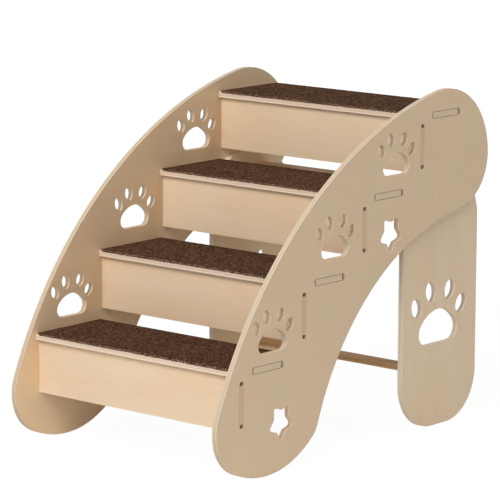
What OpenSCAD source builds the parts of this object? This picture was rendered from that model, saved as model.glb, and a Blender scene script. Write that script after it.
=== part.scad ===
// Plywood stairs for a small pet: four carpeted treads with short risers between two
// arched side panels, carried at the back by two round-cornered legs and two crossbars.
// Axes: +Z up, the low step faces -Y, X runs across the steps. Origin: middle of the footprint.
// Outline places are measured from the front edge of the first tread (y) and from the floor (z).

/* [Boards] */
// Clear width between the two side panels
inner_w = 400; // [300:5:500]
// Thickness of the plywood of panels, treads, legs and crossbars
ply_t = 9; // [7:0.5:12]
// Thickness of the risers
riser_t = 8; // [5:0.5:10]

/* [Steps] */
// Height of the first tread above the floor
first_h = 168.5; // [160:0.5:175]
// Height from one tread to the next
step_rise = 111.5; // [105:0.5:115]
// Distance from one tread's front edge to the next
step_run = 142.7; // [138:0.1:145]
// Depth of a tread from front to back
tread_d = 145; // [130:0.5:146]
// Distance of a riser's face behind the tread's front edge
nosing = 5.8; // [2:0.2:12]
// Height of a riser board
riser_h = 83.6; // [75:0.2:90]
// Length of a tread's tenon along the tread
tread_tenon_l = 62.8; // [50:0.2:75]
// Distance of the tenon behind the tread's front edge
tread_tenon_y = 36.4; // [20:0.2:45]
// Length of a riser's tenon
riser_tenon_l = 58; // [40:0.5:62]
// Play between a tenon and its slot on each side
joint_play = 0.2; // [0.1:0.05:0.3]
// Radius of the round corners that the router's bit leaves in a slot
slot_corner_r = 3; // [2:0.1:3.5]
// Play between a tread tenon's front end and the slot's round corners
tread_end_play = 0.2; // [0.1:0.05:1]
// Play between a tread tenon's rear end and the slot's round corners, wide enough to show as a dark gap
tread_rear_play = 2.6; // [0.1:0.1:3]
// Play between a riser tenon's ends and the slot's round corners, wide enough to show as a dark dot
riser_end_play = 4.4; // [0.4:0.1:4.8]

/* [Carpets] */
// Thickness of the needle felt carpet
carpet_t = 2; // [1:0.25:4]
// Distance of a carpet behind the tread's front edge
carpet_setback = 5.6; // [0:0.2:15]
// Gap between a carpet and the side panel
carpet_side_gap = 0.5; // [0.25:0.25:5]

/* [Side panel outline] */
// Toe arc of the foot, place along the panel
toe_y = 25.2; // [20:0.2:30]
// Toe arc of the foot, height of its centre
toe_z = 79.5; // [76:0.5:82]
// Toe arc of the foot, radius
toe_r = 71; // [66:0.5:74]
// Radius of the rocker-like sole
sole_r = 165.5; // [150:0.5:220]
// Heel arc, place along the panel
heel_y = 145.3; // [140:0.5:152]
// Heel arc, height of its centre
heel_z = 72.9; // [64:0.5:74]
// Heel arc, radius
heel_r = 43.5; // [36:0.5:46]
// Radius of the hollow under the arch
arch_r = 435.4; // [400:2:560]
// Rear arc, place along the panel
back_y = 528.1; // [526:0.5:538]
// Rear arc, height of its centre
back_z = 424.6; // [418:0.5:428]
// Rear arc, radius
back_r = 81.1; // [70:0.5:84]
// Radius that joins the rear arc to the crown
shoulder_r = 126.3; // [114:0.2:150]
// Crown arc, place along the panel
crown_y = 499; // [494:0.5:504]
// Crown arc, height of its centre
crown_z = 426.4; // [425:0.5:434]
// Crown arc, radius
crown_r = 109.6; // [104:0.5:112]
// Radius of the long front edge
front_r = 703.4; // [600:2:900]

/* [Paw cut-outs] */
// Width of the pad in the side panels
panel_pad_w = 65.9; // [50:0.1:70]
// First paw, place of the pad along the panel
paw_1_y = 79.9; // [70:0.1:90]
// First paw, height of the pad's lower edge
paw_1_z = 185.2; // [180:0.1:190]
// Second paw, place of the pad along the panel
paw_2_y = 224.8; // [215:0.1:230]
// Second paw, height of the pad's lower edge
paw_2_z = 306.2; // [302:0.1:309]
// Third paw, place of the pad along the panel
paw_3_y = 372.2; // [365:0.1:376]
// Third paw, height of the pad's lower edge
paw_3_z = 415.2; // [410:0.1:418]
// Width of the pad in the rear legs
leg_pad_w = 100.7; // [80:0.1:105]
// Distance of the leg's pad behind the leg's middle
leg_paw_back = -3.4; // [-10:0.1:4]
// Height of the lower edge of the leg's pad
leg_paw_z = 131.5; // [120:0.5:160]

/* [Star cut-outs] */
// Distance from a star's middle to the middle of its round tips
star_r = 22.7; // [18:0.1:26]
// Radius of a star's tips
star_tip_r = 4.4; // [2:0.1:5]
// Distance from a star's middle to its inner corners
star_inner_r = 18.3; // [12:0.1:19]
// Lower star, place along the panel
star_1_y = 101.2; // [95:0.1:108]
// Lower star, height of its middle
star_1_z = 76.3; // [72:0.1:84]
// Upper star, place along the panel
star_2_y = 361.6; // [356:0.1:366]
// Upper star, height of its middle
star_2_z = 325.8; // [322:0.1:334]

/* [Rear legs] */
// Place of a leg's middle along the panel
leg_y = 500.3; // [497:0.5:504]
// Width of a leg
leg_w = 191; // [180:1:194]
// Height of a leg
leg_h = 400.5; // [390:0.5:401]
// Radius of a leg's four corners
leg_corner_r = 76.5; // [75:0.5:88]

/* [Crossbars] */
// Depth of the upper crossbar
upper_bar_d = 68; // [50:1:80]
// Distance of the upper crossbar's underside below the top of the legs
upper_bar_drop = 31.7; // [28.5:0.1:50.5]
// Depth of the lower crossbar
lower_bar_d = 24; // [20:1:40]
// Height of the lower crossbar's underside
lower_bar_z = 77.7; // [60:0.5:100]
// Length of the stub tenons on a crossbar's ends
bar_tenon_l = 6; // [3:0.5:6]
// Depth of the upper crossbar's stub tenons
upper_tenon_d = 40; // [30:1:48]
// Depth of the lower crossbar's stub tenons
lower_tenon_d = 16; // [10:1:18]
// Play over and beside a stub tenon in its mortise
mortise_play = 0.1; // [0.05:0.05:0.25]
// Play in front of a stub tenon's end
mortise_end_play = 0.5; // [0.25:0.25:0.75]

/* [Leg screws] */
// Distance between the two screws of a side
screw_pitch = 67.9; // [55:0.1:75]
// Distance of the middle of the two screws behind the leg's middle
screw_back = -0.9; // [-8:0.1:6]
// Distance of the screws below the top of the legs
screw_drop = 29.3; // [26.5:0.1:34.5]
// Length of a screw with its head
screw_l = 16; // [14:0.5:17]
// Diameter of the shank
screw_d = 3.5; // [3:0.1:4]
// Diameter of the countersunk head
screw_head_d = 7; // [6:0.1:8]
// Height of the head's rim before its cone
screw_rim_h = 0.4; // [0.2:0.1:0.6]
// Height of the head's cone
screw_cone_h = 1.8; // [1.5:0.1:2.5]
// Play round the shank in the side panel
screw_play = 0.3; // [0.1:0.1:0.5]

/* [Hidden] */
$fn = 96;
// Amount by which a cut runs past the face that it starts from
overrun = 1;
// Amount by which a joining arc stays inside the arcs that it joins, so that they cross cleanly
seam = 0.01;
// Reach of the wedge that bounds a joining arc, as a share of its radius
wedge_share = 1.7;
// Angle by which a circle's sector runs on under the arcs that join it
sector_margin = 20;

// Pad of a paw, as shares of its width
pad_h_share = 0.55;
pad_low_y_share = 0.3;
pad_low_r_share = 0.2;
pad_top_r_share = 0.26;
pad_side_r_share = 0.61;
// Toes of a paw, as shares of the pad's width
toe_l_share = 0.354;
toe_w_share = 0.255;
toe_y_shares = [-0.56, -0.202, 0.286, 0.581];
toe_z_shares = [0.627, 0.839, 0.826, 0.56];
// Lean of the toes, front to back
toe_leans = [30, 21, -20, -37];
// A star has this many tips
star_tips = 5;

steps = 4;
half_in = inner_w / 2;
half_out = half_in + ply_t;
leg_in = half_in - ply_t;
leg_paw_y = leg_y + leg_paw_back;
upper_bar_z = leg_h - upper_bar_drop;
screw_y = leg_y + screw_back;
screw_z = leg_h - screw_drop;
// Room that a square tenon end needs before it meets a slot's round corners
slot_end = slot_corner_r - sqrt(pow(slot_corner_r, 2) - pow(slot_corner_r - joint_play, 2));

front_y = toe_y - toe_r;
rear_y = back_y + back_r;
mid_y = (front_y + rear_y) / 2;

panel_ring = [
    [[toe_y, toe_z], toe_r, sole_r],
    [[heel_y, heel_z], heel_r, -arch_r],
    [[back_y, back_z], back_r, shoulder_r],
    [[crown_y, crown_z], crown_r, front_r]
];
sole_centre = joint_centre(panel_ring[0], panel_ring[1]);
// The panel is set down so that its sole just touches the floor
panel_lift = sole_r - sole_centre[1];

function tread_z(k) = first_h + k * step_rise;
function tread_y(k) = k * step_run;
function along(v) = v / norm(v);
// Point at the distances d1 and d2 from p1 and p2, to the left of the way from p1 to p2
function left_meet(p1, d1, p2, d2) =
    let (v = p2 - p1, d = norm(v), a = (d1 * d1 - d2 * d2 + d * d) / (2 * d), h = sqrt(d1 * d1 - a * a))
    p1 + a * v / d + h * [-v[1], v[0]] / d;
// Centre of the arc that joins two circles of a ring: outside the outline for a hollow (negative) radius
function joint_centre(a, b) =
    a[2] > 0 ? left_meet(a[0], a[2] - a[1], b[0], a[2] - b[1])
             : left_meet(b[0], b[1] - a[2], a[0], a[1] - a[2]);
function turned(p, a) = [p[0] * cos(a) - p[1] * sin(a), p[0] * sin(a) + p[1] * cos(a)];
function wedge_end(c, p, r) = c + wedge_share * r * along(p - c);
function side_point(p, q, r) = p + r * along([q[1] - p[1], p[0] - q[0]]);

// Outline of circles [centre, radius, joining radius] in counter-clockwise order.
// A joining radius over zero bulges, one under zero is hollow and zero joins by a straight edge.
module smooth_outline(ring) {
    n = len(ring);
    difference() {
        union() {
            polygon([for (a = ring) a[0]]);
            for (i = [0 : n - 1])
                if (ring[i][2] < 0)
                    polygon([ring[i][0], joint_centre(ring[i], ring[(i + 1) % n]), ring[(i + 1) % n][0]]);
        }
        for (i = [0 : n - 1])
            if (ring[i][2] < 0)
                translate(joint_centre(ring[i], ring[(i + 1) % n])) circle(seam - ring[i][2]);
    }
    for (i = [0 : n - 1])
        if (ring[(i + n - 1) % n][2] > 0 && ring[i][2] > 0)
            own_sector(ring[(i + n - 1) % n], ring[i], ring[(i + 1) % n]);
        else
            translate(ring[i][0]) circle(ring[i][1]);
    for (i = [0 : n - 1])
        if (ring[i][2] > 0) bulge(ring[i], ring[(i + 1) % n]);
    for (i = [0 : n - 1])
        if (ring[i][2] == 0) straight(ring[i], ring[(i + 1) % n]);
}

// Sector of circle a between the bulging arcs that join it to the circles before and after it
module own_sector(before, a, after) {
    p = a[0];
    reach = wedge_share * a[1];
    first = along(p - joint_centre(before, a));
    last = along(p - joint_centre(a, after));
    intersection() {
        translate(p) circle(a[1]);
        polygon([
            p,
            p + reach * turned(first, -sector_margin),
            p + reach * along(first + last),
            p + reach * turned(last, sector_margin)
        ]);
    }
}

module bulge(a, b) {
    c = joint_centre(a, b);
    intersection() {
        translate(c) circle(a[2] - seam);
        polygon([a[0], wedge_end(c, a[0], a[2]), wedge_end(c, b[0], a[2]), b[0]]);
    }
}

module straight(a, b) {
    polygon([a[0], side_point(a[0], b[0], a[1] - seam), side_point(b[0], a[0], seam - b[1]), b[0]]);
}

// Pad and four toes, drawn round the middle of the pad's lower edge
module paw(w) {
    low_r = pad_low_r_share * w;
    top_r = pad_top_r_share * w;
    smooth_outline([
        [[-pad_low_y_share * w, low_r], low_r, 0],
        [[pad_low_y_share * w, low_r], low_r, pad_side_r_share * w],
        [[0, pad_h_share * w - top_r], top_r, pad_side_r_share * w]
    ]);
    for (i = [0 : len(toe_leans) - 1])
        translate([toe_y_shares[i] * w, toe_z_shares[i] * w]) rotate(toe_leans[i])
            toe(toe_l_share * w, toe_w_share * w);
}

// Leaf between two equal arcs
module toe(l, w) {
    r = (l * l + w * w) / (4 * w);
    intersection() {
        translate([w / 2 - r, 0]) circle(r);
        translate([r - w / 2, 0]) circle(r);
    }
}

// Round tips with straight sides that touch them and meet in inner corners, one tip downwards
module star() {
    turn = 360 / star_tips;
    tip = [star_r, 0];
    corner = star_inner_r * [cos(turn / 2), sin(turn / 2)];
    reach = corner - tip;
    lean = atan2(reach[1], reach[0]) - acos(star_tip_r / norm(reach));
    side = tip + (star_tip_r - seam) * [cos(lean), sin(lean)];
    polygon([for (i = [0 : star_tips - 1], p = [[side[0], -side[1]], side, corner]) turned(p, i * turn - 90)]);
    for (i = [0 : star_tips - 1]) translate(turned(tip, i * turn - 90)) circle(star_tip_r);
}

// Rectangle with round corners, its lower corner at the origin
module rounded(w, h, r) {
    translate([r, 0]) square([w - 2 * r, h]);
    translate([0, r]) square([w, h - 2 * r]);
    for (y = [r, w - r], z = [r, h - r]) translate([y, z]) circle(r);
}

module tread_slot() {
    front = slot_end + tread_end_play;
    rear = slot_end + tread_rear_play;
    translate([tread_tenon_y - front, -ply_t - joint_play])
        rounded(tread_tenon_l + front + rear, ply_t + 2 * joint_play, slot_corner_r);
}

module riser_slot() {
    end = slot_end + riser_end_play;
    translate([nosing - joint_play, -ply_t - (riser_h + riser_tenon_l) / 2 - end])
        rounded(riser_t + 2 * joint_play, riser_tenon_l + 2 * end, slot_corner_r);
}

module panel_face() {
    difference() {
        translate([0, panel_lift]) smooth_outline(panel_ring);
        translate([paw_1_y, paw_1_z]) paw(panel_pad_w);
        translate([paw_2_y, paw_2_z]) paw(panel_pad_w);
        translate([paw_3_y, paw_3_z]) paw(panel_pad_w);
        translate([star_1_y, star_1_z]) star();
        translate([star_2_y, star_2_z]) star();
        for (k = [0 : steps - 1]) translate([tread_y(k), tread_z(k)]) {
            tread_slot();
            riser_slot();
        }
    }
}

// Stands a face drawn as (y, z) upright, with its thickness along X
module upright(x, t) {
    translate([x, -mid_y, 0]) rotate([90, 0, 90]) linear_extrude(t) children();
}

// Screws of the right side, or the room that they need, with their heads at the outer face
module screw_row(d, l) {
    for (s = [-1, 1])
        translate([half_out, screw_y + s * screw_pitch / 2 - mid_y, screw_z]) rotate([0, -90, 0]) {
            cylinder(h = screw_rim_h, d = screw_head_d);
            translate([0, 0, screw_rim_h]) cylinder(h = screw_cone_h, d1 = screw_head_d, d2 = screw_d);
            cylinder(h = l, d = d);
        }
}

module right_panel() {
    difference() {
        upright(half_in, ply_t) panel_face();
        screw_row(screw_d + 2 * screw_play, ply_t + overrun);
    }
}

module leg_face() {
    difference() {
        translate([leg_y - leg_w / 2, 0]) rounded(leg_w, leg_h, leg_corner_r);
        translate([leg_paw_y, leg_paw_z]) paw(leg_pad_w);
    }
}

module right_leg() {
    difference() {
        upright(leg_in, ply_t) leg_face();
        screw_row(screw_d, screw_l);
        mortise(upper_tenon_d, upper_bar_z);
        mortise(lower_tenon_d, lower_bar_z);
    }
}

module mortise(d, z) {
    w = d + 2 * mortise_play;
    h = ply_t + 2 * mortise_play;
    translate([leg_in - overrun, leg_y - w / 2 - mid_y, z - mortise_play])
        cube([bar_tenon_l + mortise_end_play + overrun, w, h]);
}

module crossbar(d, tenon_d, z) {
    translate([-leg_in, leg_y - d / 2 - mid_y, z]) cube([2 * leg_in, d, ply_t]);
    translate([-leg_in - bar_tenon_l, leg_y - tenon_d / 2 - mid_y, z])
        cube([2 * (leg_in + bar_tenon_l), tenon_d, ply_t]);
}

module tread(k) {
    translate([0, tread_y(k) - mid_y, tread_z(k) - ply_t]) {
        translate([-half_in, 0, 0]) cube([inner_w, tread_d, ply_t]);
        translate([-half_out, tread_tenon_y, 0]) cube([2 * half_out, tread_tenon_l, ply_t]);
    }
}

module riser(k) {
    translate([0, tread_y(k) + nosing - mid_y, tread_z(k) - ply_t - riser_h]) {
        translate([-half_in, 0, 0]) cube([inner_w, riser_t, riser_h]);
        translate([-half_out, 0, (riser_h - riser_tenon_l) / 2]) cube([2 * half_out, riser_t, riser_tenon_l]);
    }
}

module carpet(k) {
    translate([carpet_side_gap - half_in, tread_y(k) + carpet_setback - mid_y, tread_z(k)])
        cube([inner_w - 2 * carpet_side_gap, tread_d - carpet_setback, carpet_t]);
}

module side_panel_left() { color("BurlyWood") mirror([1, 0, 0]) right_panel(); }
module side_panel_right() { color("BurlyWood") right_panel(); }
module tread_1() { color("Wheat") tread(0); }
module tread_2() { color("Wheat") tread(1); }
module tread_3() { color("Wheat") tread(2); }
module tread_4() { color("Wheat") tread(3); }
module riser_1() { color("NavajoWhite") riser(0); }
module riser_2() { color("NavajoWhite") riser(1); }
module riser_3() { color("NavajoWhite") riser(2); }
module riser_4() { color("NavajoWhite") riser(3); }
module carpet_1() { color("SaddleBrown") carpet(0); }
module carpet_2() { color("SaddleBrown") carpet(1); }
module carpet_3() { color("SaddleBrown") carpet(2); }
module carpet_4() { color("SaddleBrown") carpet(3); }
module rear_leg_left() { color("Tan") mirror([1, 0, 0]) right_leg(); }
module rear_leg_right() { color("Tan") right_leg(); }
module upper_crossbar() { color("Peru") crossbar(upper_bar_d, upper_tenon_d, upper_bar_z); }
module lower_crossbar() { color("Peru") crossbar(lower_bar_d, lower_tenon_d, lower_bar_z); }
module leg_screws_left() { color("Silver") mirror([1, 0, 0]) screw_row(screw_d, screw_l); }
module leg_screws_right() { color("Silver") screw_row(screw_d, screw_l); }

side_panel_left();
side_panel_right();
tread_1();
tread_2();
tread_3();
tread_4();
riser_1();
riser_2();
riser_3();
riser_4();
carpet_1();
carpet_2();
carpet_3();
carpet_4();
rear_leg_left();
rear_leg_right();
upper_crossbar();
lower_crossbar();
leg_screws_left();
leg_screws_right();
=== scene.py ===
# %% [markdown]
# # Plywood stairs for a small pet
# Four carpeted treads stand between two arched side panels with paw and star cut-outs, and two
# round-cornered legs carry the back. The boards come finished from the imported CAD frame. This notebook
# gives them their wood, lays real felt on the treads, cuts the screws' cross recesses, breaks the boards'
# sharp edges, and sets the camera and the light.

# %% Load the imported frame
import math

import bmesh
import bpy
from mathutils import Matrix, Vector, noise


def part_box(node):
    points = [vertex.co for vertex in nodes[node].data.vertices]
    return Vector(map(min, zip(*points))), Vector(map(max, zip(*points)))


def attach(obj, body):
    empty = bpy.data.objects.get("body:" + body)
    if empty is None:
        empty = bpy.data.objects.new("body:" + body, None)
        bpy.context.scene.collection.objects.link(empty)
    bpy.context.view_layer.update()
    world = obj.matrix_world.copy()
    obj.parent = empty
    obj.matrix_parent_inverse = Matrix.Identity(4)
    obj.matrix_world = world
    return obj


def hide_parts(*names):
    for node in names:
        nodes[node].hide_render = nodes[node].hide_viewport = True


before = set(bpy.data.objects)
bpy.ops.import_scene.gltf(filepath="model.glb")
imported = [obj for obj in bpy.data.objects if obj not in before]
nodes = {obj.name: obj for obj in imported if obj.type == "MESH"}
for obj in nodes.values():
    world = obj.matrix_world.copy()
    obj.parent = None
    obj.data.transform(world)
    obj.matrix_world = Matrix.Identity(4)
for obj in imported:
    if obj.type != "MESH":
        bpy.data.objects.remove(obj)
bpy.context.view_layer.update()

# %% [markdown]
# ## Sizes that the looks depend on
# Everything stands in metres in the row frame: +Z up, the low step towards -Y, the origin in the middle
# of the footprint. The wood has to know where each board starts and how the steps repeat. That could be
# read off the meshes, but the construction's own sizes say it exactly, so they are repeated here. They
# are in millimetres, because wood is easier to judge so.

# %% Sizes that several steps share
MM = 0.001
HALF_IN = 200.0
PLY_T = 9.0
STEPS = 4
STEP_RISE = 111.5
STEP_RUN = 142.7
# The footprint's middle, counted from the first tread's front edge
MID_Y = 281.7
FIRST_TREAD_Z = 168.5

for name in ("side_panel_right", "tread_1", "riser_1", "rear_leg_right"):
    low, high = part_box(name)
    print(name, [round(1000 * (b - a), 1) for a, b in zip(low, high)], "mm")


# %% [markdown]
# ## Small helpers for materials
# A colour picked from a photograph is written in sRGB, while shaders mix linear light, so one function
# turns the first into the second. Materials could be clicked together in the Shader Editor. Built by
# script they come out the same each time and read like formulas: one function adds a node and wires its
# inputs, and short names stand for the sums that come up most.


# %% Colours and nodes
def linear(hex_colour):
    values = [int(hex_colour[i:i + 2], 16) / 255 for i in (1, 3, 5)]
    return tuple(v / 12.92 if v <= 0.04045 else ((v + 0.055) / 1.055) ** 2.4 for v in values) + (1.0,)


def add_node(tree, kind, inputs=None, **settings):
    made = tree.nodes.new(kind)
    for key, value in settings.items():
        setattr(made, key, value)
    for key, value in (inputs or {}).items():
        if isinstance(value, bpy.types.NodeSocket):
            tree.links.new(value, made.inputs[key])
        else:
            made.inputs[key].default_value = value
    return made


print("middle grey in linear light:", round(linear("#808080")[0], 3))


# %% Empty and shaded materials
def empty_material(name):
    material = bpy.data.materials.new(name)
    material.use_nodes = True
    material.node_tree.nodes.clear()
    return material, material.node_tree


def new_material(name):
    material, tree = empty_material(name)
    shader = add_node(tree, "ShaderNodeBsdfPrincipled")
    add_node(tree, "ShaderNodeOutputMaterial", {"Surface": shader.outputs["BSDF"]})
    return material, tree, shader


# %% Sums made of nodes
def math_node(tree, operation, *values):
    made = add_node(tree, "ShaderNodeMath", dict(enumerate(values)), operation=operation)
    return made.outputs[0]


def times(tree, first, second):
    return math_node(tree, "MULTIPLY", first, second)


def minus(tree, first, second):
    return math_node(tree, "SUBTRACT", first, second)


def absolute(tree, value):
    return math_node(tree, "ABSOLUTE", value)


def smooth_range(tree, value, start, end):
    """Zero up to start, one from end on, and a soft rise between them."""
    made = add_node(tree, "ShaderNodeMapRange", {"Value": value, "From Min": start, "From Max": end},
                    interpolation_type="SMOOTHSTEP")
    return made.outputs["Result"]


# %% Mixed and stained colours
MIX_FACTOR, MIX_FIRST, MIX_SECOND, MIX_RESULT = 0, 6, 7, 2


def mix_colour(tree, factor, first, second):
    made = add_node(tree, "ShaderNodeMix", data_type="RGBA")
    for index, value in ((MIX_FACTOR, factor), (MIX_FIRST, first), (MIX_SECOND, second)):
        if isinstance(value, bpy.types.NodeSocket):
            tree.links.new(value, made.inputs[index])
        else:
            made.inputs[index].default_value = value
    return made.outputs[MIX_RESULT]


def stained(tree, where, share, colour, stain):
    """The colour with a share of the stain mixed in, as far as where says."""
    return mix_colour(tree, times(tree, where, share), colour, linear(stain))


# %% Places and noise in millimetres
def millimetres(tree):
    coords = add_node(tree, "ShaderNodeTexCoord")
    scaled = add_node(tree, "ShaderNodeVectorMath", {0: coords.outputs["Object"], "Scale": 1000.0},
                      operation="SCALE")
    place = add_node(tree, "ShaderNodeSeparateXYZ", {0: scaled.outputs[0]})
    normal = add_node(tree, "ShaderNodeSeparateXYZ", {0: coords.outputs["Normal"]})
    return scaled.outputs[0], place.outputs, normal.outputs


def pattern_noise(tree, vector, feature, turn=0.0, detail=4.0, roughness=0.55, distortion=0.0):
    """Noise whose features are feature millimetres long on X, Y and Z, after a turn about X."""
    mapped = add_node(tree, "ShaderNodeMapping",
                      {"Vector": vector, "Rotation": (turn, 0.0, 0.0), "Scale": feature},
                      vector_type="TEXTURE")
    made = add_node(tree, "ShaderNodeTexNoise",
                    {"Vector": mapped.outputs[0], "Scale": 1.0, "Detail": detail, "Roughness": roughness,
                     "Distortion": distortion})
    return made.outputs["Fac"]


# %% [markdown]
# ## Plywood
# The real boards are birch plywood of about 9 mm. A face shows sliced birch: broad soft streaks, fine
# fibres and short flecks, all drawn out along the grain. A cut edge shows a darker core between two pale
# veneers, with thin glue lines between them. An image of wood would need a flat map of each board, and
# it would repeat. So the pattern is noise in the board's own space, where it runs on over rims and through
# cut-outs as real wood does. One material then serves a whole board: the normal tells a face from an
# edge, and the place across the board tells the veneer.

# %% Where a point lies in its board
VENEERS = 3


def grain_size(along, across, lengthwise):
    """Feature sizes for Mapping: long on X where lengthwise is "x", otherwise long on Y before the turn."""
    return (along, across, across) if lengthwise == "x" else (across, along, across)


def across_board(tree, place, board):
    """From zero on one face of the board to one on the other."""
    value = place[board["axis"]]
    if board.get("mirrored"):
        value = absolute(tree, value)
    value = minus(tree, value, board["start"])
    if "pitch" in board:
        value = math_node(tree, "FLOORED_MODULO", value, board["pitch"])
    return math_node(tree, "DIVIDE", value, board["thickness"])


print(VENEERS, "veneers of", round(PLY_T / VENEERS, 1), "mm")

# %% [markdown]
# ### Painted shadow lines round the tenons
# On the real panel a thin line of shadow and dust runs round each tenon. Along most of a slot the play is
# far narrower than a pixel, so modelling alone would lose the line. The material paints it instead, as
# painted shadow with some dust, close to the rim of a round-cornered rectangle that repeats from step to
# step. At the risers' slots only the front side is dark, a painted shadow of the recessed tenon end.

# %% A line along a slot's rim
RIM_FADES = (1.2, 0.4)


def slot_shadow_line(tree, place, slot):
    """How dark the painted shadow line is: full on the slot's rim, or on its front half, at every step."""
    z = minus(tree, place[2], slot["z"])
    step = math_node(tree, "ROUND", math_node(tree, "DIVIDE", z, STEP_RISE))
    step = math_node(tree, "MINIMUM", math_node(tree, "MAXIMUM", step, 0.0), STEPS - 1.0)
    z = minus(tree, z, times(tree, step, STEP_RISE))
    y = minus(tree, place[1], slot["y"])
    y = minus(tree, y, times(tree, step, STEP_RUN))
    off_y = minus(tree, absolute(tree, y), slot["half_y"] - slot["corner"])
    off_z = minus(tree, absolute(tree, z), slot["half_z"] - slot["corner"])
    round_y = math_node(tree, "MAXIMUM", off_y, 0.0)
    round_z = math_node(tree, "MAXIMUM", off_z, 0.0)
    squares = math_node(tree, "MULTIPLY_ADD", round_y, round_y, times(tree, round_z, round_z))
    inside = math_node(tree, "MINIMUM", math_node(tree, "MAXIMUM", off_y, off_z), 0.0)
    rim = math_node(tree, "ADD", math_node(tree, "SQRT", squares), inside)
    line = smooth_range(tree, absolute(tree, minus(tree, rim, slot["corner"])), *RIM_FADES)
    if slot["front_only"]:
        line = times(tree, line, math_node(tree, "LESS_THAN", y, 0.0))
    return times(tree, line, slot["line"])


print("the line fades out", RIM_FADES[0], "mm from the rim")

# %% [markdown]
# ### Painted light on the walls of the cut-outs
# The walls of paws and stars are painted paler than the boards' outer edges, as painted light that stands
# in for the light that reaches into the holes. They could be a second material on their own faces, but the
# CAD mesh stays as it is. So the material asks whether a point lies in a circle round a cut-out.


# %% Inside a cut-out's circle
def in_circles(tree, place, circles):
    """One inside any of the circles (y, z, radius) that lie on a side panel, otherwise zero."""
    inside = 0.0
    for y, z, radius in circles:
        off_y = minus(tree, place[1], y - MID_Y)
        off_z = minus(tree, place[2], z)
        squares = math_node(tree, "MULTIPLY_ADD", off_y, off_y, times(tree, off_z, off_z))
        inside = math_node(tree, "MAXIMUM", math_node(tree, "LESS_THAN", squares, radius * radius), inside)
    return inside


# %% [markdown]
# ### The face of a board
# Sliced birch is calm, so four sizes of noise are mixed weakly: streaks and soft clouds lead from the dark
# to the light tone, and fibres and flecks add a little brown. The faces that look into the stairs get
# painted shade that grows darker above their foot, as in the photograph.

# %% Streaks, clouds, fibres and flecks
STREAK_SIZE = (170.0, 9.0)
FIBRE_SIZE = (22.0, 0.7)
FLECK_SIZE = (5.5, 0.55)
FLECK_RANGE = (0.66, 0.76)


def birch_noises(tree, vector, lengthwise, turn, blotch):
    """Streaks, clouds, fibres and flecks, all drawn out along the grain."""
    streaks = pattern_noise(tree, vector, grain_size(*STREAK_SIZE, lengthwise), turn, 5.0, 0.6, 0.25)
    clouds = pattern_noise(tree, vector, grain_size(*blotch, lengthwise), turn, 2.0, 0.5, 0.6)
    fibres = pattern_noise(tree, vector, grain_size(*FIBRE_SIZE, lengthwise), turn, 3.0, 0.6)
    flecks = pattern_noise(tree, vector, grain_size(*FLECK_SIZE, lengthwise), turn, 1.0, 0.5)
    return streaks, clouds, fibres, smooth_range(tree, flecks, *FLECK_RANGE)


print("fibres of", FIBRE_SIZE, "mm and flecks of", FLECK_SIZE, "mm")

# %% The colour of a face
STREAKS_IN_TONE = 0.55
TONE_RANGE = (0.36, 0.64)
FIBRE_RANGE = (0.35, 0.62)
FIBRE_SHARE, FIBRE_BROWN = 0.06, "#a07a52"
FLECK_SHARE, FLECK_BROWN = 0.12, "#8a6440"
# Painted shade on the faces that look into the stairs, growing darker above their foot
INNER_DARKENS = (50.0, 240.0)
INNER_SHADE_SHARE, INNER_SHADE_BROWN = 0.2, "#6e5a44"


def birch_face(tree, noises, dark, light, streaky, inner_shade):
    """The face's colour between dark and light. inner_shade says where painted shade darkens it, or is
    None.
    """
    streaks, clouds, fibres, fleck = noises
    share = STREAKS_IN_TONE * streaky
    tone = math_node(tree, "MULTIPLY_ADD", clouds, 1.0 - share, times(tree, streaks, share))
    face = mix_colour(tree, smooth_range(tree, tone, *TONE_RANGE), dark, light)
    if inner_shade:
        face = stained(tree, inner_shade, INNER_SHADE_SHARE, face, INNER_SHADE_BROWN)
    face = stained(tree, smooth_range(tree, fibres, *FIBRE_RANGE), FIBRE_SHARE, face, FIBRE_BROWN)
    return stained(tree, fleck, FLECK_SHARE, face, FLECK_BROWN)


# %% [markdown]
# ### The cut edge of a board
# A saw shows the veneers as bands. The place across the board is counted in veneers, a soft noise lets
# the bands waver, and each whole number is a glue line. The crossed veneer in the middle is the darker
# one, because it shows its end grain.

# %% The colour of an edge
WAVER_SIZE = 14.0
WAVER = 0.16
GLUE_FADES = (0.13, 0.04)
CORE_SHARE = 0.7
PORE_SIZE = 1.1
PORE_RANGE = (0.5, 0.72)
PORE_SHARE, PORE_BROWN = 0.2, "#a8865f"
GLUE_SHARE, GLUE_BROWN = 0.45, "#9a7d5c"


def cut_edge(tree, vector, place, board, pale, core):
    """The colour of an edge, and where its glue lines are."""
    ply = times(tree, across_board(tree, place, board), float(VENEERS))
    waver = pattern_noise(tree, vector, (WAVER_SIZE,) * 3, 0.0, 2.0)
    ply = math_node(tree, "ADD", ply, math_node(tree, "MULTIPLY_ADD", waver, WAVER, -WAVER / 2))
    to_glue = absolute(tree, minus(tree, ply, math_node(tree, "ROUND", ply)))
    glue = smooth_range(tree, to_glue, *GLUE_FADES)
    crossed = math_node(tree, "FLOORED_MODULO", math_node(tree, "FLOOR", ply), 2.0)
    edge = mix_colour(tree, times(tree, crossed, CORE_SHARE), pale, core)
    pores = pattern_noise(tree, vector, (PORE_SIZE,) * 3, 0.0, 2.0)
    edge = stained(tree, smooth_range(tree, pores, *PORE_RANGE), PORE_SHARE, edge, PORE_BROWN)
    return stained(tree, glue, GLUE_SHARE, edge, GLUE_BROWN), glue


print("glue lines reach", round(GLUE_FADES[0] * PLY_T / VENEERS, 2), "mm to each side")

# %% Gloss and relief
ROUGHNESS = (0.52, 0.68)
SHINE = 0.3
FLECK_DEPTH, GLUE_DEPTH = 0.5, 0.6
RELIEF = 0.12 * MM


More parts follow.
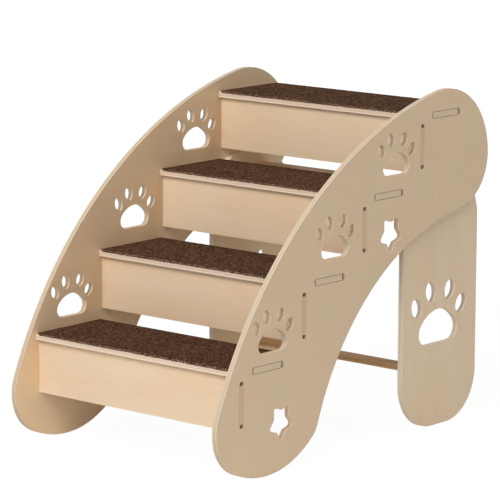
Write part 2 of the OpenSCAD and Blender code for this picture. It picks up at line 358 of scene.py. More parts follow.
def wood_relief(tree, shader, fibres, fleck, glue, is_face):
    """Fibres stand up a little on a face, and flecks and glue lines sink."""
    rough = add_node(tree, "ShaderNodeMapRange",
                     {"Value": fibres, "From Min": 0.3, "From Max": 0.7, "To Min": ROUGHNESS[0],
                      "To Max": ROUGHNESS[1]})
    tree.links.new(rough.outputs["Result"], shader.inputs["Roughness"])
    shader.inputs["Specular IOR Level"].default_value = SHINE
    edge_height = times(tree, minus(tree, 1.0, is_face), times(tree, glue, -GLUE_DEPTH))
    face_height = times(tree, minus(tree, fibres, times(tree, fleck, FLECK_DEPTH)), is_face)
    height = math_node(tree, "ADD", face_height, edge_height)
    bump = add_node(tree, "ShaderNodeBump", {"Strength": 0.5, "Distance": RELIEF, "Height": height})
    tree.links.new(bump.outputs["Normal"], shader.inputs["Normal"])


print("the wood's relief is", RELIEF / MM, "mm deep")

# %% [markdown]
# ### One plywood for every board
# The six woods differ in their colours, in the run of their grain and in what is cut into them, and not in
# how they are built. So one function makes them all, and each board says only what is its own. The narrow
# bands where a face turns into an edge get a little darker.

# %% Face, edge, slots and rims together
FACE_FROM = (0.6, 0.8)
EDGE_BAND_FROM = (0.2, 0.45)
EDGE_BAND_TO = (0.97, 0.75)
EDGE_BAND_SHARE, EDGE_BAND_BROWN = 0.25, "#a5835a"
# Painted shadow, with some dust, for the line round each tenon
SLOT_SHADOW_AND_DUST = "#67503a"
# Paler veneers for the walls of the cut-outs: painted light for the light that reaches into the holes
LIT_WALL_PALE, LIT_WALL_CORE = "#f3dec2", "#e9d3b3"
END_GLUE_SHARE = 0.6


def plywood(name, board, lengthwise, colours, turn=0.0, slots=(), end=None, inner_painted_light=None, streaky=1.0,
            blotch=(260.0, 70.0), cutouts=()):
    """colours are the dark and light of a face, then the pale and core veneer of an edge.
    end is the colour of the tenons' ends, where they show in a side panel's face.
    The inner colours are those of the face that looks into the stairs, painted warmer and lighter as
    painted bounce light.
    The walls of cutouts are painted paler, as painted light."""
    material, tree, shader = new_material(name)
    vector, place, normal = millimetres(tree)
    dark, light, pale, core = (linear(c) for c in colours)
    inner_shade = None
    if inner_painted_light:
        # The inner face's colours are painted warmer and lighter, as painted bounce light
        looks_in = math_node(tree, "LESS_THAN", times(tree, normal[0], place[0]), 0.0)
        dark = mix_colour(tree, looks_in, dark, linear(inner_painted_light[0]))
        light = mix_colour(tree, looks_in, light, linear(inner_painted_light[1]))
        # Painted shade, darker above the foot of the faces that look into the stairs
        inner_shade = times(tree, looks_in, smooth_range(tree, place[2], *INNER_DARKENS))
    noises = birch_noises(tree, vector, lengthwise, turn, blotch)
    face = birch_face(tree, noises, dark, light, streaky, inner_shade)

    # Painted light: the walls of the cut-outs are made paler
    if cutouts:
        painted_lit_walls = in_circles(tree, place, cutouts)
        pale = mix_colour(tree, painted_lit_walls, pale, linear(LIT_WALL_PALE))
        core = mix_colour(tree, painted_lit_walls, core, linear(LIT_WALL_CORE))
    edge, glue = cut_edge(tree, vector, place, board, pale, core)
    if end:
        tip = stained(tree, glue, END_GLUE_SHARE, linear(end), GLUE_BROWN)
        edge = mix_colour(tree, smooth_range(tree, absolute(tree, normal[0]), *FACE_FROM), edge, tip)

    facing = absolute(tree, normal[board["axis"]])
    is_face = smooth_range(tree, facing, *FACE_FROM)
    colour = mix_colour(tree, is_face, edge, face)
    # Painted shadow lines round the tenons
    for slot in slots:
        line = times(tree, slot_shadow_line(tree, place, slot), is_face)
        colour = mix_colour(tree, line, colour, linear(SLOT_SHADOW_AND_DUST))
    # A little darker in the narrow band where a face turns into an edge
    edge_band = times(tree, smooth_range(tree, facing, *EDGE_BAND_FROM), smooth_range(tree, facing, *EDGE_BAND_TO))
    colour = stained(tree, edge_band, EDGE_BAND_SHARE, colour, EDGE_BAND_BROWN)
    tree.links.new(colour, shader.inputs["Base Color"])
    _, _, fibres, fleck = noises
    wood_relief(tree, shader, fibres, fleck, glue, is_face)
    return material


# %% How each board lies
RISER_T = 8.0
RISER_H = 83.6
NOSING = 5.8
RISER_Y = NOSING - MID_Y
UPPER_BAR_Z = 368.8
LOWER_BAR_Z = 77.7
PANEL = {"axis": 0, "mirrored": True, "start": HALF_IN, "thickness": PLY_T}
LEG = {"axis": 0, "mirrored": True, "start": HALF_IN - PLY_T, "thickness": PLY_T}
TREAD = {"axis": 2, "start": FIRST_TREAD_Z - PLY_T, "pitch": STEP_RISE, "thickness": PLY_T}
RISER = {"axis": 1, "start": RISER_Y, "pitch": STEP_RUN, "thickness": RISER_T}
UPPER_BAR = {"axis": 2, "start": UPPER_BAR_Z, "thickness": PLY_T}
LOWER_BAR = {"axis": 2, "start": LOWER_BAR_Z, "thickness": PLY_T}
print("risers start", round(RISER_Y, 1), "mm from the middle and repeat every", STEP_RUN, "mm")

# %% Slots and cut-outs in the panels
TREAD_SLOT_MIDDLE = 69.0
TREAD_SLOT = {"y": TREAD_SLOT_MIDDLE - MID_Y, "z": FIRST_TREAD_Z - PLY_T / 2, "half_y": 34.9,
              "half_z": 4.7, "corner": 3.0, "line": 0.75, "front_only": False}
RISER_SLOT = {"y": RISER_Y + RISER_T / 2, "z": FIRST_TREAD_Z - PLY_T - RISER_H / 2, "half_y": 4.2,
              "half_z": 30.5, "corner": 3.0, "line": 0.3, "front_only": True}
# Middles (y, z), with y counted from the first tread's front edge, and reaches
PAWS = ((79.9, 218.2), (224.8, 339.2), (372.2, 448.2))
STARS = ((101.2, 76.3), (361.6, 325.8))
PAW_REACH = 50.0
STAR_REACH = 30.0
CUTOUTS = [(y, z, PAW_REACH) for y, z in PAWS] + [(y, z, STAR_REACH) for y, z in STARS]
print(len(CUTOUTS), "cut-outs in each panel")

# %% Wood of panels, legs, risers, treads and bars
# One pale birch sheet: the veneers of its edges are as light as its faces, only greyer
EDGE_COLOURS = ("#d7c5ac", "#c7b599")
# The big sides carry soft blotches between a pinkish and an olive tint, with the grain along the arch.
# Their inner faces are painted warmer and lighter, as painted bounce light, and darker above their foot, as
# painted shade.
panel_wood = plywood("birch_plywood_panel", PANEL, "slope", ("#ecceae", "#e8d1ad") + EDGE_COLOURS,
                     turn=math.radians(48.0), slots=(TREAD_SLOT, RISER_SLOT), inner_painted_light=("#fcd9b1", "#f8dbb3"),
                     streaky=0.5, blotch=(90.0, 42.0), cutouts=CUTOUTS)
# Upright grain tells the legs from the panels that they stand beside. Their edges are painted lighter, as
# painted light on the front edge, and their inner faces warmer and lighter, as painted bounce light.
leg_wood = plywood("birch_plywood_leg", LEG, "slope", ("#f1d7b5", "#f3ddbd", "#fbeedc", "#f2e0c5"),
                   turn=math.radians(90.0), inner_painted_light=("#fadab0", "#fcdfb8"), streaky=0.45)
# The risers' faces catch the front light, so their fine level grain is the wood that is seen best
riser_wood = plywood("birch_plywood_riser", RISER, "x", ("#e6c9a7", "#e9d1b3") + EDGE_COLOURS,
                     end="#e2c6a3", streaky=0.7)
# The treads show little more than their front edge, so its veneers and glue lines do the work
tread_wood = plywood("birch_plywood_tread", TREAD, "x", ("#e2c6a3", "#e8cfb0", "#ecd6c1", "#dac2a6"),
                     end="#ead3b2")
# The bars lie in the shade between the legs, so their faces are painted browner, as painted shade, and the
# lower bar's edges are painted lighter, as painted light.
shaded_upper_bar_wood = plywood("birch_plywood_upper_bar_painted_shade", UPPER_BAR, "x", ("#d9b389", "#dfbc93") + EDGE_COLOURS)
shaded_lower_bar_wood = plywood("birch_plywood_lower_bar_painted_light_and_shade", LOWER_BAR, "x",
                         ("#c89b68", "#cda370", "#f2c894", "#e0b280"))
WOODS = (panel_wood, leg_wood, riser_wood, tread_wood, shaded_upper_bar_wood, shaded_lower_bar_wood)
for wood in WOODS:
    print(wood.name, "has", len(wood.node_tree.nodes), "nodes")


# %% Dress the boards
def dress(node_name, material):
    board = nodes[node_name]
    board.data.materials.clear()
    board.data.materials.append(material)


# The sign of X on each side
SIDES = {"left": -1.0, "right": 1.0}
for side in SIDES:
    dress(f"side_panel_{side}", panel_wood)
    dress(f"rear_leg_{side}", leg_wood)
for step in range(1, STEPS + 1):
    dress(f"tread_{step}", tread_wood)
    dress(f"riser_{step}", riser_wood)
dress("upper_crossbar", shaded_upper_bar_wood)
dress("lower_crossbar", shaded_lower_bar_wood)
print("dressed", 2 * len(SIDES) + 2 * STEPS + 2, "boards in", len(WOODS), "woods")

# %% [markdown]
# ## Needle felt
# Each carpet is a sheet of dark brown needle felt that is glued on its tread. It reaches the tread's
# front, where its frayed lip hangs a millimetre over the edge and its corners are cut round. A plain
# slab with a noise colour would look like paint, and hair strands would be lost in the export. So a
# felt slab with an uneven top is made in mesh code, and short real fibres lie tangled on it. Their
# tint varies from fibre to fibre, which gives the felt its light specks.

# %% The felt's material
# The camera looks flatly along the carpets, so their tufts are drawn out in depth to stay visible
TUFT_SIZE = (1.05, 3.2, 1.0)
MATTED_SIZE, CLUMP_SIZE = 9.0, 2.6
# Painted shade in the felt's hollows: tufts chosen at random are darkened
HOLLOW_SHADE_SHARE, HOLLOW_SHADE_BROWN = 0.55, "#180e09"
SPECK_SHARE, SPECK_BROWN = 0.52, "#9c785c"
FRAYED_SHARE, FRAYED_BROWN = 0.55, "#b09476"
LIGHT_SHARE, LIGHT_BROWN = 0.6, "#a98d6c"


def carpet_material(name, dark, light):
    material, tree, shader = new_material(name)
    vector, _, normal = millimetres(tree)
    matted = pattern_noise(tree, vector, (MATTED_SIZE,) * 3, 0.0, 5.0, 0.7)
    clumps = pattern_noise(tree, vector, (CLUMP_SIZE,) * 3, 0.0, 2.0, 0.6)
    stretched = add_node(tree, "ShaderNodeMapping", {"Vector": vector, "Scale": TUFT_SIZE},
                         vector_type="TEXTURE")
    tufts = add_node(tree, "ShaderNodeTexVoronoi", {"Vector": stretched.outputs[0], "Scale": 1.0})
    grain = add_node(tree, "ShaderNodeSeparateColor", {0: tufts.outputs["Color"]}).outputs[0]
    colour = mix_colour(tree, smooth_range(tree, matted, *TONE_RANGE), linear(dark), linear(light))
    # Painted shade in the hollows between tufts
    colour = stained(tree, smooth_range(tree, grain, 0.45, 0.0), HOLLOW_SHADE_SHARE, colour, HOLLOW_SHADE_BROWN)
    colour = stained(tree, smooth_range(tree, grain, 0.62, 1.0), SPECK_SHARE, colour, SPECK_BROWN)
    cut_front = smooth_range(tree, normal[1], -0.2, -0.7)
    frayed = times(tree, cut_front, smooth_range(tree, grain, 0.35, 0.8))
    colour = stained(tree, frayed, FRAYED_SHARE, colour, FRAYED_BROWN)
    tint = add_node(tree, "ShaderNodeAttribute", attribute_name="tint")
    colour = stained(tree, tint.outputs["Fac"], LIGHT_SHARE, colour, LIGHT_BROWN)
    tree.links.new(colour, shader.inputs["Base Color"])
    shader.inputs["Roughness"].default_value = 1.0
    shader.inputs["Specular IOR Level"].default_value = 0.04
    bump = add_node(tree, "ShaderNodeBump", {"Strength": 0.9, "Distance": 0.5 * MM, "Height": clumps})
    tree.links.new(bump.outputs["Normal"], shader.inputs["Normal"])
    return material


# The matted brown body of the felt
felt = carpet_material("needle_felt", "#352118", "#4b3022")
# Loose fibres on top, some much lighter: they give the speckle that tells felt from paint
fibre_felt = carpet_material("needle_felt_fibres", "#382217", "#543625")
print("felt materials:", felt.name, fibre_felt.name)


# %% Meshes and objects from mesh code
def finished_mesh(name, mesh):
    data = bpy.data.meshes.new(name)
    mesh.to_mesh(data)
    mesh.free()
    return data


def linked(name, data):
    made = bpy.data.objects.new(name, data)
    bpy.context.scene.collection.objects.link(made)
    return made


# %% Sizes of a carpet
CARPET_T = 2.0 * MM
GRID = 3.0 * MM
FINE_GRID = 1.2 * MM
SETBACK = 5.6 * MM
CORNER = 7.0 * MM
CORNER_CUT = 4.2 * MM
# Rows of the front lip: place before or behind the tread's edge, then the heights of its top and underside
LIP_ROWS = ((-0.6, -0.3, -1.3), (-0.2, 1.1, 0.05), (1.4, 1.8, 0.0))
LIP_RAGS, LIP_RAG_SIZE = 0.9 * MM, 1.7 * MM
SWELL, SWELL_SIZE = 0.12 * MM, 5 * MM
PRESSED_RIM, SOFT_RIM = 0.5 * MM, 3.5 * MM
print("a carpet is", CARPET_T / MM, "mm thick and reaches", SETBACK / MM, "mm before its CAD slab")


# %% The front lip's rows
def lip_row(j, x, low, cut, ragged):
    """The lip's top and underside point in row j."""
    off, over, under = LIP_ROWS[j]
    y = low[1] - SETBACK + off * MM + cut * (1.0 if j < 2 else 0.7)
    over_z, under_z = over * MM, under * MM
    if cut > 0.3 * MM:
        over_z, under_z = (0.5 + 0.6 * j) * MM, 0.0
    elif j == 0:
        under_z += ragged
    return (x, y, low[2] + over_z), (x, y + 0.1 * MM * (j == 0), low[2] + under_z)


def slab_height(x, y, z, rim):
    """The slab's thickness at a point that lies rim away from its nearest open edge."""
    height = CARPET_T * (0.62 if rim < PRESSED_RIM else 0.94 if rim < SOFT_RIM else 1.0)
    swell = SWELL * noise.noise(Vector((x, y, z)) / SWELL_SIZE) * (rim > PRESSED_RIM)
    return height + swell


# %% The slab
def felt_slab(name, low, high):
    """A closed felt that covers its tread to the front, with a frayed lip that hangs over the edge.
    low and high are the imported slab's box, which ends behind the edge."""
    columns = round((high[0] - low[0]) / FINE_GRID)
    rows = round((high[1] - low[1]) / GRID)
    mesh = bmesh.new()
    top, bottom = {}, {}
    for i in range(columns + 1):
        x = low[0] + (high[0] - low[0]) * i / columns
        to_side = min(x - low[0], high[0] - x)
        cut = CORNER_CUT * max(0.0, 1.0 - to_side / CORNER) ** 2
        ragged = LIP_RAGS * noise.noise(Vector((x, 7.0, low[2])) / LIP_RAG_SIZE)
        for j in range(len(LIP_ROWS)):
            over, under = lip_row(j, x, low, cut, ragged)
            top[i, j] = mesh.verts.new(over)
            bottom[i, j] = mesh.verts.new(under)
        for j in range(rows + 1):
            y = low[1] + (high[1] - low[1]) * j / rows
            height = slab_height(x, y, low[2], min(to_side, high[1] - y))
            top[i, j + len(LIP_ROWS)] = mesh.verts.new((x, y, low[2] + height))
            bottom[i, j + len(LIP_ROWS)] = mesh.verts.new((x, y, low[2]))
    last = rows + len(LIP_ROWS)
    for i in range(columns):
        for j in range(last):
            corners = ((i, j), (i + 1, j), (i + 1, j + 1), (i, j + 1))
            mesh.faces.new([top[c] for c in corners])
            mesh.faces.new([bottom[c] for c in reversed(corners)])
    border = [(i, 0) for i in range(columns)] + [(columns, j) for j in range(last)]
    border += [(i, last) for i in range(columns, 0, -1)] + [(0, j) for j in range(last, 0, -1)]
    for first, second in zip(border, border[1:] + border[:1]):
        mesh.faces.new([bottom[first], bottom[second], top[second], top[first]])
    data = finished_mesh(name, mesh)
    data.polygons.foreach_set("use_smooth", [True] * len(data.polygons))
    data.materials.append(felt)
    return linked(name, data)


# %% [markdown]
# ### Tangled fibres
# Needle felt is a mat of short curly fibres. Tens of thousands of them can't be laid by hand, and a
# particle system is gone after the export. Geometry Nodes scatter one small fibre over the slab with a
# fixed seed, lean and scale each copy by chance, and store a tint on it that the material reads.

# %% One fibre
FIBRE_LENGTH = 3.4 * MM
FIBRE_RADIUS = 0.085 * MM
FIBRE_BENDS = (0.35 * MM, 0.3 * MM)
FIBRE_LINKS = 3
FIBRE_SIDES = 3


def fibre_mesh():
    """A thin three-sided rod of bent links that lies along X."""
    mesh = bmesh.new()
    rings = []
    for i in range(FIBRE_LINKS + 1):
        share = i / FIBRE_LINKS
        arch = math.sin(math.pi * share)
        centre = Vector(((share - 0.5) * FIBRE_LENGTH, FIBRE_BENDS[0] * arch, FIBRE_BENDS[1] * arch))
        thin = FIBRE_RADIUS * (1.0 - 0.5 * abs(2 * share - 1))
        angles = [side * math.tau / FIBRE_SIDES for side in range(FIBRE_SIDES)]
        rings.append([mesh.verts.new(centre + Vector((0.0, thin * math.cos(a), thin * math.sin(a))))
                      for a in angles])
    for first, second in zip(rings, rings[1:]):
        for k in range(FIBRE_SIDES):
            n = (k + 1) % FIBRE_SIDES
            mesh.faces.new([first[k], first[n], second[n], second[k]])
    mesh.faces.new(list(reversed(rings[0])))
    mesh.faces.new(rings[-1])
    return finished_mesh("fibre", mesh)


fibre = bpy.data.objects.new("fibre", fibre_mesh())
print("a fibre has", len(fibre.data.polygons), "faces")

# %% The tree that scatters fibres
FIBRE_LEAN = (0.35, 0.25)
FIBRE_SCALES = (0.6, 1.25)
FEW_LIGHT = 5.0


def fibre_tree(material):
    """Scatters fibres on the mesh that it is given and keeps only the fibres."""
    tree = bpy.data.node_groups.new("scattered_fibres", "GeometryNodeTree")
    interface = tree.interface
    ins = [interface.new_socket("Mesh", in_out="INPUT", socket_type="NodeSocketGeometry"),
           interface.new_socket("Density", in_out="INPUT", socket_type="NodeSocketFloat"),
           interface.new_socket("Seed", in_out="INPUT", socket_type="NodeSocketInt")]
    interface.new_socket("Mesh", in_out="OUTPUT", socket_type="NodeSocketGeometry")
    source = add_node(tree, "NodeGroupInput")
    points = add_node(tree, "GeometryNodeDistributePointsOnFaces",
                      {"Mesh": source.outputs["Mesh"], "Density": source.outputs["Density"],
                       "Seed": source.outputs["Seed"]})
    lean_x, lean_y = FIBRE_LEAN
    spin = add_node(tree, "FunctionNodeRandomValue",
                    {0: (-lean_x, -lean_y, 0.0), 1: (lean_x, lean_y, math.tau), "Seed": 3},
                    data_type="FLOAT_VECTOR")
    turned = add_node(tree, "FunctionNodeRotateRotation",
                      {"Rotation": points.outputs["Rotation"], "Rotate By": spin.outputs[0]},
                      rotation_space="LOCAL")
    size = add_node(tree, "FunctionNodeRandomValue", {2: FIBRE_SCALES[0], 3: FIBRE_SCALES[1], "Seed": 5},
                    data_type="FLOAT")
    shape = add_node(tree, "GeometryNodeObjectInfo", {"Object": fibre})
    placed = add_node(tree, "GeometryNodeInstanceOnPoints",
                      {"Points": points.outputs["Points"], "Instance": shape.outputs["Geometry"],
                       "Rotation": turned.outputs[0], "Scale": size.outputs[1]})
    shade = add_node(tree, "FunctionNodeRandomValue", {2: 0.0, 3: 1.0, "Seed": 7}, data_type="FLOAT")
    bright = add_node(tree, "ShaderNodeMath", {0: shade.outputs[1], 1: FEW_LIGHT}, operation="POWER")
    tinted = add_node(tree, "GeometryNodeStoreNamedAttribute",
                      {"Geometry": placed.outputs["Instances"], "Name": "tint", "Value": bright.outputs[0]},
                      data_type="FLOAT", domain="INSTANCE")
    real = add_node(tree, "GeometryNodeRealizeInstances", {"Geometry": tinted.outputs["Geometry"]})
    painted = add_node(tree, "GeometryNodeSetMaterial",
                       {"Geometry": real.outputs["Geometry"], "Material": material})
    sink = add_node(tree, "NodeGroupOutput")
    tree.links.new(painted.outputs["Geometry"], sink.inputs["Mesh"])
    return tree, {socket.name: socket.identifier for socket in ins}


scatter, scatter_ids = fibre_tree(fibre_felt)
print("the tree's inputs:", scatter_ids)

# %% Fibres as a plain mesh
BARE_RIM = 2.4 * MM


def plain_copy(piece, name):
    """The piece as its modifiers show it, as a new object without any modifier."""
    evaluated = piece.evaluated_get(bpy.context.evaluated_depsgraph_get())
    data = bpy.data.meshes.new_from_object(evaluated)
    data.name = name
    return linked(name, data)


def felt_fibres(name, slab, box, density, seed):
    """Fibres on the slab's top and front, but not on its other rims, where it was cut."""
    low, high = box
    carrier = linked(f"{name}_carrier", slab.data.copy())
    mesh = bmesh.new()
    mesh.from_mesh(carrier.data)
    bare = []
    for face in mesh.faces:
        x, y, _ = face.calc_center_median()
        beside = x < low[0] + BARE_RIM or x > high[0] - BARE_RIM or y > high[1] - BARE_RIM
        if beside or face.normal.z < -0.3 or face.normal.y > 0.5:
            bare.append(face)
    bmesh.ops.delete(mesh, geom=bare, context="FACES")
    mesh.to_mesh(carrier.data)
    mesh.free()
    modifier = carrier.modifiers.new("fibres", "NODES")
    modifier.node_group = scatter
    modifier[scatter_ids["Density"]] = density
    modifier[scatter_ids["Seed"]] = seed
    bpy.context.view_layer.update()
    made = plain_copy(carrier, name)
    bpy.data.objects.remove(carrier)
    return made


# %% Lay the four carpets
FIBRES_PER_M2 = 130000.0
for step in range(1, STEPS + 1):
    low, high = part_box(f"carpet_{step}")
    slab = felt_slab(f"felt_carpet_{step}", low, high)
    fuzz = felt_fibres(f"felt_fibres_{step}", slab, (low, high), FIBRES_PER_M2, 11 * step)
    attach(slab, "root")
    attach(fuzz, "root")
    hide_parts(f"carpet_{step}")
    print(slab.name, len(slab.data.polygons), "faces,", fuzz.name, len(fuzz.data.polygons), "faces")
bpy.data.objects.remove(fibre)

# %% [markdown]
# ## Leg screws
# Two countersunk screws a side hold a leg to its panel, and only their heads show, as small round marks.
# The CAD solids have no recess and no thread. A screw is a turned part, so its profile is spun round an
# axis, with rings that stand for the thread inside the wood, and a Boolean cuts the cross recess, as a
# punch would.


# %% A turned solid
def turned_solid(name, profile, segments):
    """A closed solid of revolution about Z from (radius, height) pairs; a zero radius closes it."""
    mesh = bmesh.new()
    rings = []
    for radius, height in profile:
        if radius == 0:
            rings.append([mesh.verts.new((0.0, 0.0, height))])
        else:
            rings.append([mesh.verts.new((radius * math.cos(math.tau * k / segments),
                                          radius * math.sin(math.tau * k / segments), height))
                          for k in range(segments)])
    for first, second in zip(rings, rings[1:]):
        for k in range(segments):
            n = (k + 1) % segments
            ring = [first[k % len(first)], first[n % len(first)],
                    second[n % len(second)], second[k % len(second)]]
            mesh.faces.new(list(dict.fromkeys(ring)))
    bmesh.ops.recalc_face_normals(mesh, faces=mesh.faces)
    return finished_mesh(name, mesh)


# %% The screw's profile in millimetres
HEAD = [(0.0, 0.0), (3.2, 0.0), (3.5, 0.15), (3.5, 0.4), (1.75, 2.2), (1.75, 4.0)]
THREAD_FROM, THREAD_TO, THREAD_PITCH = 4.0, 14.2, 1.2
CORE_RADIUS, CREST_RADIUS = 1.3, 1.72
SCREW_L = 16.0


def screw_profile():
    """From the middle of the head's flat top down to the tip, heights counted into the wood."""
    points = list(HEAD)
    height = THREAD_FROM
    while height < THREAD_TO:
        points += [(CORE_RADIUS, height + 0.35), (CREST_RADIUS, height + 0.75),
                   (CORE_RADIUS, height + 1.15)]
        height += THREAD_PITCH
    points += [(0.9, height + 0.4), (0.0, SCREW_L)]
    return [(radius * MM, -depth * MM) for radius, depth in points]


print("the screw's profile has", len(screw_profile()), "points")

# %% The cross recess
# Length, width and height of a wedge's mouth and of its floor
RECESS_MOUTH = (4.2, 0.85, 0.5)
RECESS_FLOOR = (2.2, 0.55, -1.6)


def cross_recess():
    """Two crossed wedges that taper into the head."""
    mesh = bmesh.new()
    for turn in (0.0, math.pi / 2):
        for vertex in bmesh.ops.create_cube(mesh, size=1.0)["verts"]:
            length, width, height = RECESS_FLOOR if vertex.co.z < 0 else RECESS_MOUTH
            corner = Vector((vertex.co.x * length * MM, vertex.co.y * width * MM, height * MM))
            vertex.co = Matrix.Rotation(turn, 3, "Z") @ corner
    return finished_mesh("cross_recess", mesh)


print("the recess is", -RECESS_FLOOR[2], "mm deep")

# %% Zinc
# Bright zinc with a soft brushed sheen: small, but its glint marks the only metal on the object
zinc, tree, shader = new_material("zinc_screw")
vector, _, _ = millimetres(tree)
scuffs = pattern_noise(tree, vector, (0.5, 0.5, 0.5), 0.0, 3.0)
zinc_colour = mix_colour(tree, smooth_range(tree, scuffs, 0.4, 0.65), linear("#d9c9ad"), linear("#bfae90"))
tree.links.new(zinc_colour, shader.inputs["Base Color"])
zinc_rough = add_node(tree, "ShaderNodeMapRange", {"Value": scuffs, "To Min": 0.4, "To Max": 0.6})
tree.links.new(zinc_rough.outputs["Result"], shader.inputs["Roughness"])
shader.inputs["Metallic"].default_value = 0.6
print("screws are finished in", zinc.name)

# %% Cut one screw
blank = linked("screw_blank", turned_solid("screw_blank", screw_profile(), segments=32))
cutter = linked("cross_recess", cross_recess())
cut = blank.modifiers.new("recess", "BOOLEAN")
cut.operation, cut.object, cut.solver = "DIFFERENCE", cutter, "EXACT"
cut.use_self = True
bpy.context.view_layer.update()
screw = plain_copy(blank, "screw_shape")
bpy.data.objects.remove(blank)
bpy.data.objects.remove(cutter)
print("one screw has", len(screw.data.polygons), "faces")

# %% Drive two screws a side
SCREW_Y = (499.4 - MID_Y) * MM
SCREW_PITCH = 67.9 * MM
SCREW_Z = 371.2 * MM
HALF_OUT = (HALF_IN + PLY_T) * MM
# The front and the rear screw: its place in the pitch, and its turn in radians
SCREWS = ((-0.5, 0.4), (0.5, 1.3))
for side, sign in SIDES.items():
    mesh = bmesh.new()
    for place, driven_to in SCREWS:
        one = screw.data.copy()
        turn = Matrix.Rotation(sign * math.pi / 2, 4, "Y") @ Matrix.Rotation(driven_to, 4, "Z")
        where = Vector((sign * HALF_OUT, SCREW_Y + place * SCREW_PITCH, SCREW_Z))
        one.transform(Matrix.Translation(where) @ turn)
        mesh.from_mesh(one)
        bpy.data.meshes.remove(one)
    data = finished_mesh(f"cross_screws_{side}", mesh)
    data.materials.append(zinc)
    pair = linked(f"cross_screws_{side}", data)
    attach(pair, "root")
    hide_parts(f"leg_screws_{side}")
    print(pair.name, len(data.polygons), "faces")
bpy.data.objects.remove(screw)

# %% [markdown]
# ## Eased edges
# A router leaves a board's rim crisp, and a pass of sandpaper breaks it. A dead sharp edge in a render
# catches no light. The CAD mesh isn't changed, so a Bevel modifier with a very small width does it, and
# gives each board the thin highlight that shows where it ends.

# %% A small bevel on each board
EASE = 0.35 * MM
EASED_FROM = math.radians(50.0)
for name, board in nodes.items():
    if name.startswith(("carpet", "leg_screws")):
        continue
    bevel = board.modifiers.new("eased_edges", "BEVEL")
    bevel.width = EASE
    bevel.segments = 2
    bevel.limit_method = "ANGLE"
    bevel.angle_limit = EASED_FROM
print("eased the edges of", sum(bool(board.modifiers) for board in nodes.values()), "boards")

# %% [markdown]
# ## Camera
# The photograph was taken with a long lens from the low step's right. A camera could be moved by eye
# until the picture fits, but the repeated steps give enough corners to solve the view. So its place, its
# three angles and its lens are numbers, and the camera is built from them.

# %% The solved view
FOCAL_PX = 3072.852
FRAME_PX = 500
YAW, PITCH, ROLL = (math.radians(a) for a in (40.441, 10.37414, 0.22687))
EYE = Vector((3055.882, -3312.958 - MID_Y, 981.058 + FIRST_TREAD_Z)) * MM

forward = Vector((-math.sin(YAW) * math.cos(PITCH), math.cos(YAW) * math.cos(PITCH), -math.sin(PITCH)))
level = Vector((math.cos(YAW), math.sin(YAW), 0.0))
above = level.cross(forward)
right = math.cos(ROLL) * level + math.sin(ROLL) * above
up = math.cos(ROLL) * above - math.sin(ROLL) * level
lens = bpy.data.cameras.new("photo_view")
lens.sensor_width = 36.0
lens.lens = FOCAL_PX / FRAME_PX * lens.sensor_width
lens.clip_end = 100.0
camera = linked("photo_view", lens)
camera.matrix_world = Matrix.Translation(EYE) @ Matrix((right, up, -forward)).transposed().to_4x4()
bpy.context.scene.camera = camera
print("lens", round(lens.lens, 2), "mm at", [round(v, 3) for v in EYE])

# %% [markdown]
# ## Floor and backdrop
# The photograph is a cut-out on white. More light would make a pale floor white, but it would also bleach
# the wood. So the floor and the backdrop are white only to the eye of the camera, and to what a gloss
# mirrors. A little of the floor's own shading stays in near the object, so that it keeps its contact
# shadow.


# %% What the camera sees directly
def seen_directly(tree):
    path = add_node(tree, "ShaderNodeLightPath")
    seen = math_node(tree, "MAXIMUM", path.outputs["Is Camera Ray"], path.outputs["Is Glossy Ray"])
    return math_node(tree, "MAXIMUM", seen, path.outputs["Is Transmission Ray"])


WHITE = (1.0, 1.0, 1.0, 1.0)

# %% The floor
FLOOR_GREY = (0.86, 0.86, 0.86, 1.0)
FLOOR_GLOW = 1.07
FLOOR_RADIUS = 14.0
KEPT_SHADING = 0.1
SHADOW_REACH = (0.9, 1.8)

floor_material, tree = empty_material("white_studio_floor")
matt = add_node(tree, "ShaderNodeBsdfDiffuse", {"Color": FLOOR_GREY})
white = add_node(tree, "ShaderNodeEmission", {"Color": WHITE, "Strength": FLOOR_GLOW})
floor_place = add_node(tree, "ShaderNodeTexCoord").outputs["Object"]
from_middle = add_node(tree, "ShaderNodeVectorMath", {0: floor_place}, operation="LENGTH").outputs["Value"]
near = smooth_range(tree, from_middle, SHADOW_REACH[1], SHADOW_REACH[0])
amount = times(tree, seen_directly(tree), minus(tree, 1.0, times(tree, near, KEPT_SHADING)))
mixed = add_node(tree, "ShaderNodeMixShader", {0: amount, 1: matt.outputs[0], 2: white.outputs[0]})
add_node(tree, "ShaderNodeOutputMaterial", {"Surface": mixed.outputs[0]})

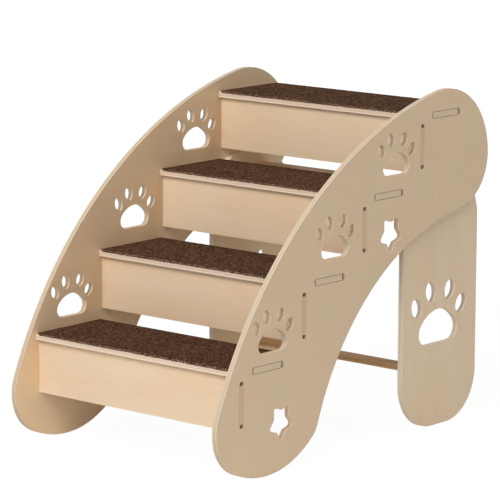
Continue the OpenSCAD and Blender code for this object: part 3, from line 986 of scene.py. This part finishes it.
mesh = bmesh.new()
bmesh.ops.create_circle(mesh, cap_ends=True, segments=96, radius=FLOOR_RADIUS)
floor_data = finished_mesh("studio_floor", mesh)
floor_data.materials.append(floor_material)
floor = linked("studio_floor", floor_data)
print("a round floor of", FLOOR_RADIUS, "m keeps its shadow up to", SHADOW_REACH[1], "m from the middle")

# %% The backdrop
FILL = 0.03

world = bpy.data.worlds.new("studio")
bpy.context.scene.world = world
world.use_nodes = True
tree = world.node_tree
tree.nodes.clear()
fill = add_node(tree, "ShaderNodeBackground", {"Color": WHITE, "Strength": FILL})
backdrop = add_node(tree, "ShaderNodeBackground", {"Color": WHITE, "Strength": 1.0})
mixed = add_node(tree, "ShaderNodeMixShader",
                 {0: seen_directly(tree), 1: fill.outputs[0], 2: backdrop.outputs[0]})
add_node(tree, "ShaderNodeOutputWorld", {"Surface": mixed.outputs[0]})
print("the world fills in with", FILL)

# %% [markdown]
# ## Light
# The photograph's light is soft and comes from high in front, because the risers are the brightest faces
# and the shadows have no hard rim. One big lamp would do that but leave the outer panel dull. So three
# large lamps stand in front, the highest of them strongest, one hangs overhead, and one at the back right
# lifts the outer panel. A smaller lamp high on the right draws the soft shadow that the panel's arch casts
# on the leg behind it.

# %% Lamps
LAMPS_LOOK_AT = Vector((0.0, 0.0, 0.25))


def soft_lamp(name, place, watts, size):
    data = bpy.data.lights.new(name, "AREA")
    data.shape = "DISK"
    data.size = size
    data.energy = watts
    lamp = linked(name, data)
    lamp.location = place
    lamp.rotation_euler = (LAMPS_LOOK_AT - Vector(place)).to_track_quat("-Z", "Y").to_euler()


# Place in metres, power in watts, width in metres
LAMPS = {
    "high_front_softbox": ((0.3, -2.5, 3.2), 105.0, 2.0),
    "front_softbox": ((0.0, -3.4, 2.0), 7.0, 2.0),
    "front_right_softbox": ((1.6, -3.1, 2.0), 28.0, 2.0),
    "back_right_softbox": ((2.6, 2.4, 1.6), 17.0, 2.0),
    "top_softbox": ((0.3, 0.4, 3.4), 6.5, 2.4),
    "high_right_lamp": ((1.6, 1.2, 3.6), 22.0, 1.0),
}
for name, (place, watts, size) in LAMPS.items():
    soft_lamp(name, place, watts, size)
bpy.context.scene.view_settings.view_transform = "Standard"
print(len(LAMPS), "lamps with", sum(watts for _, watts, _ in LAMPS.values()), "watts in all")
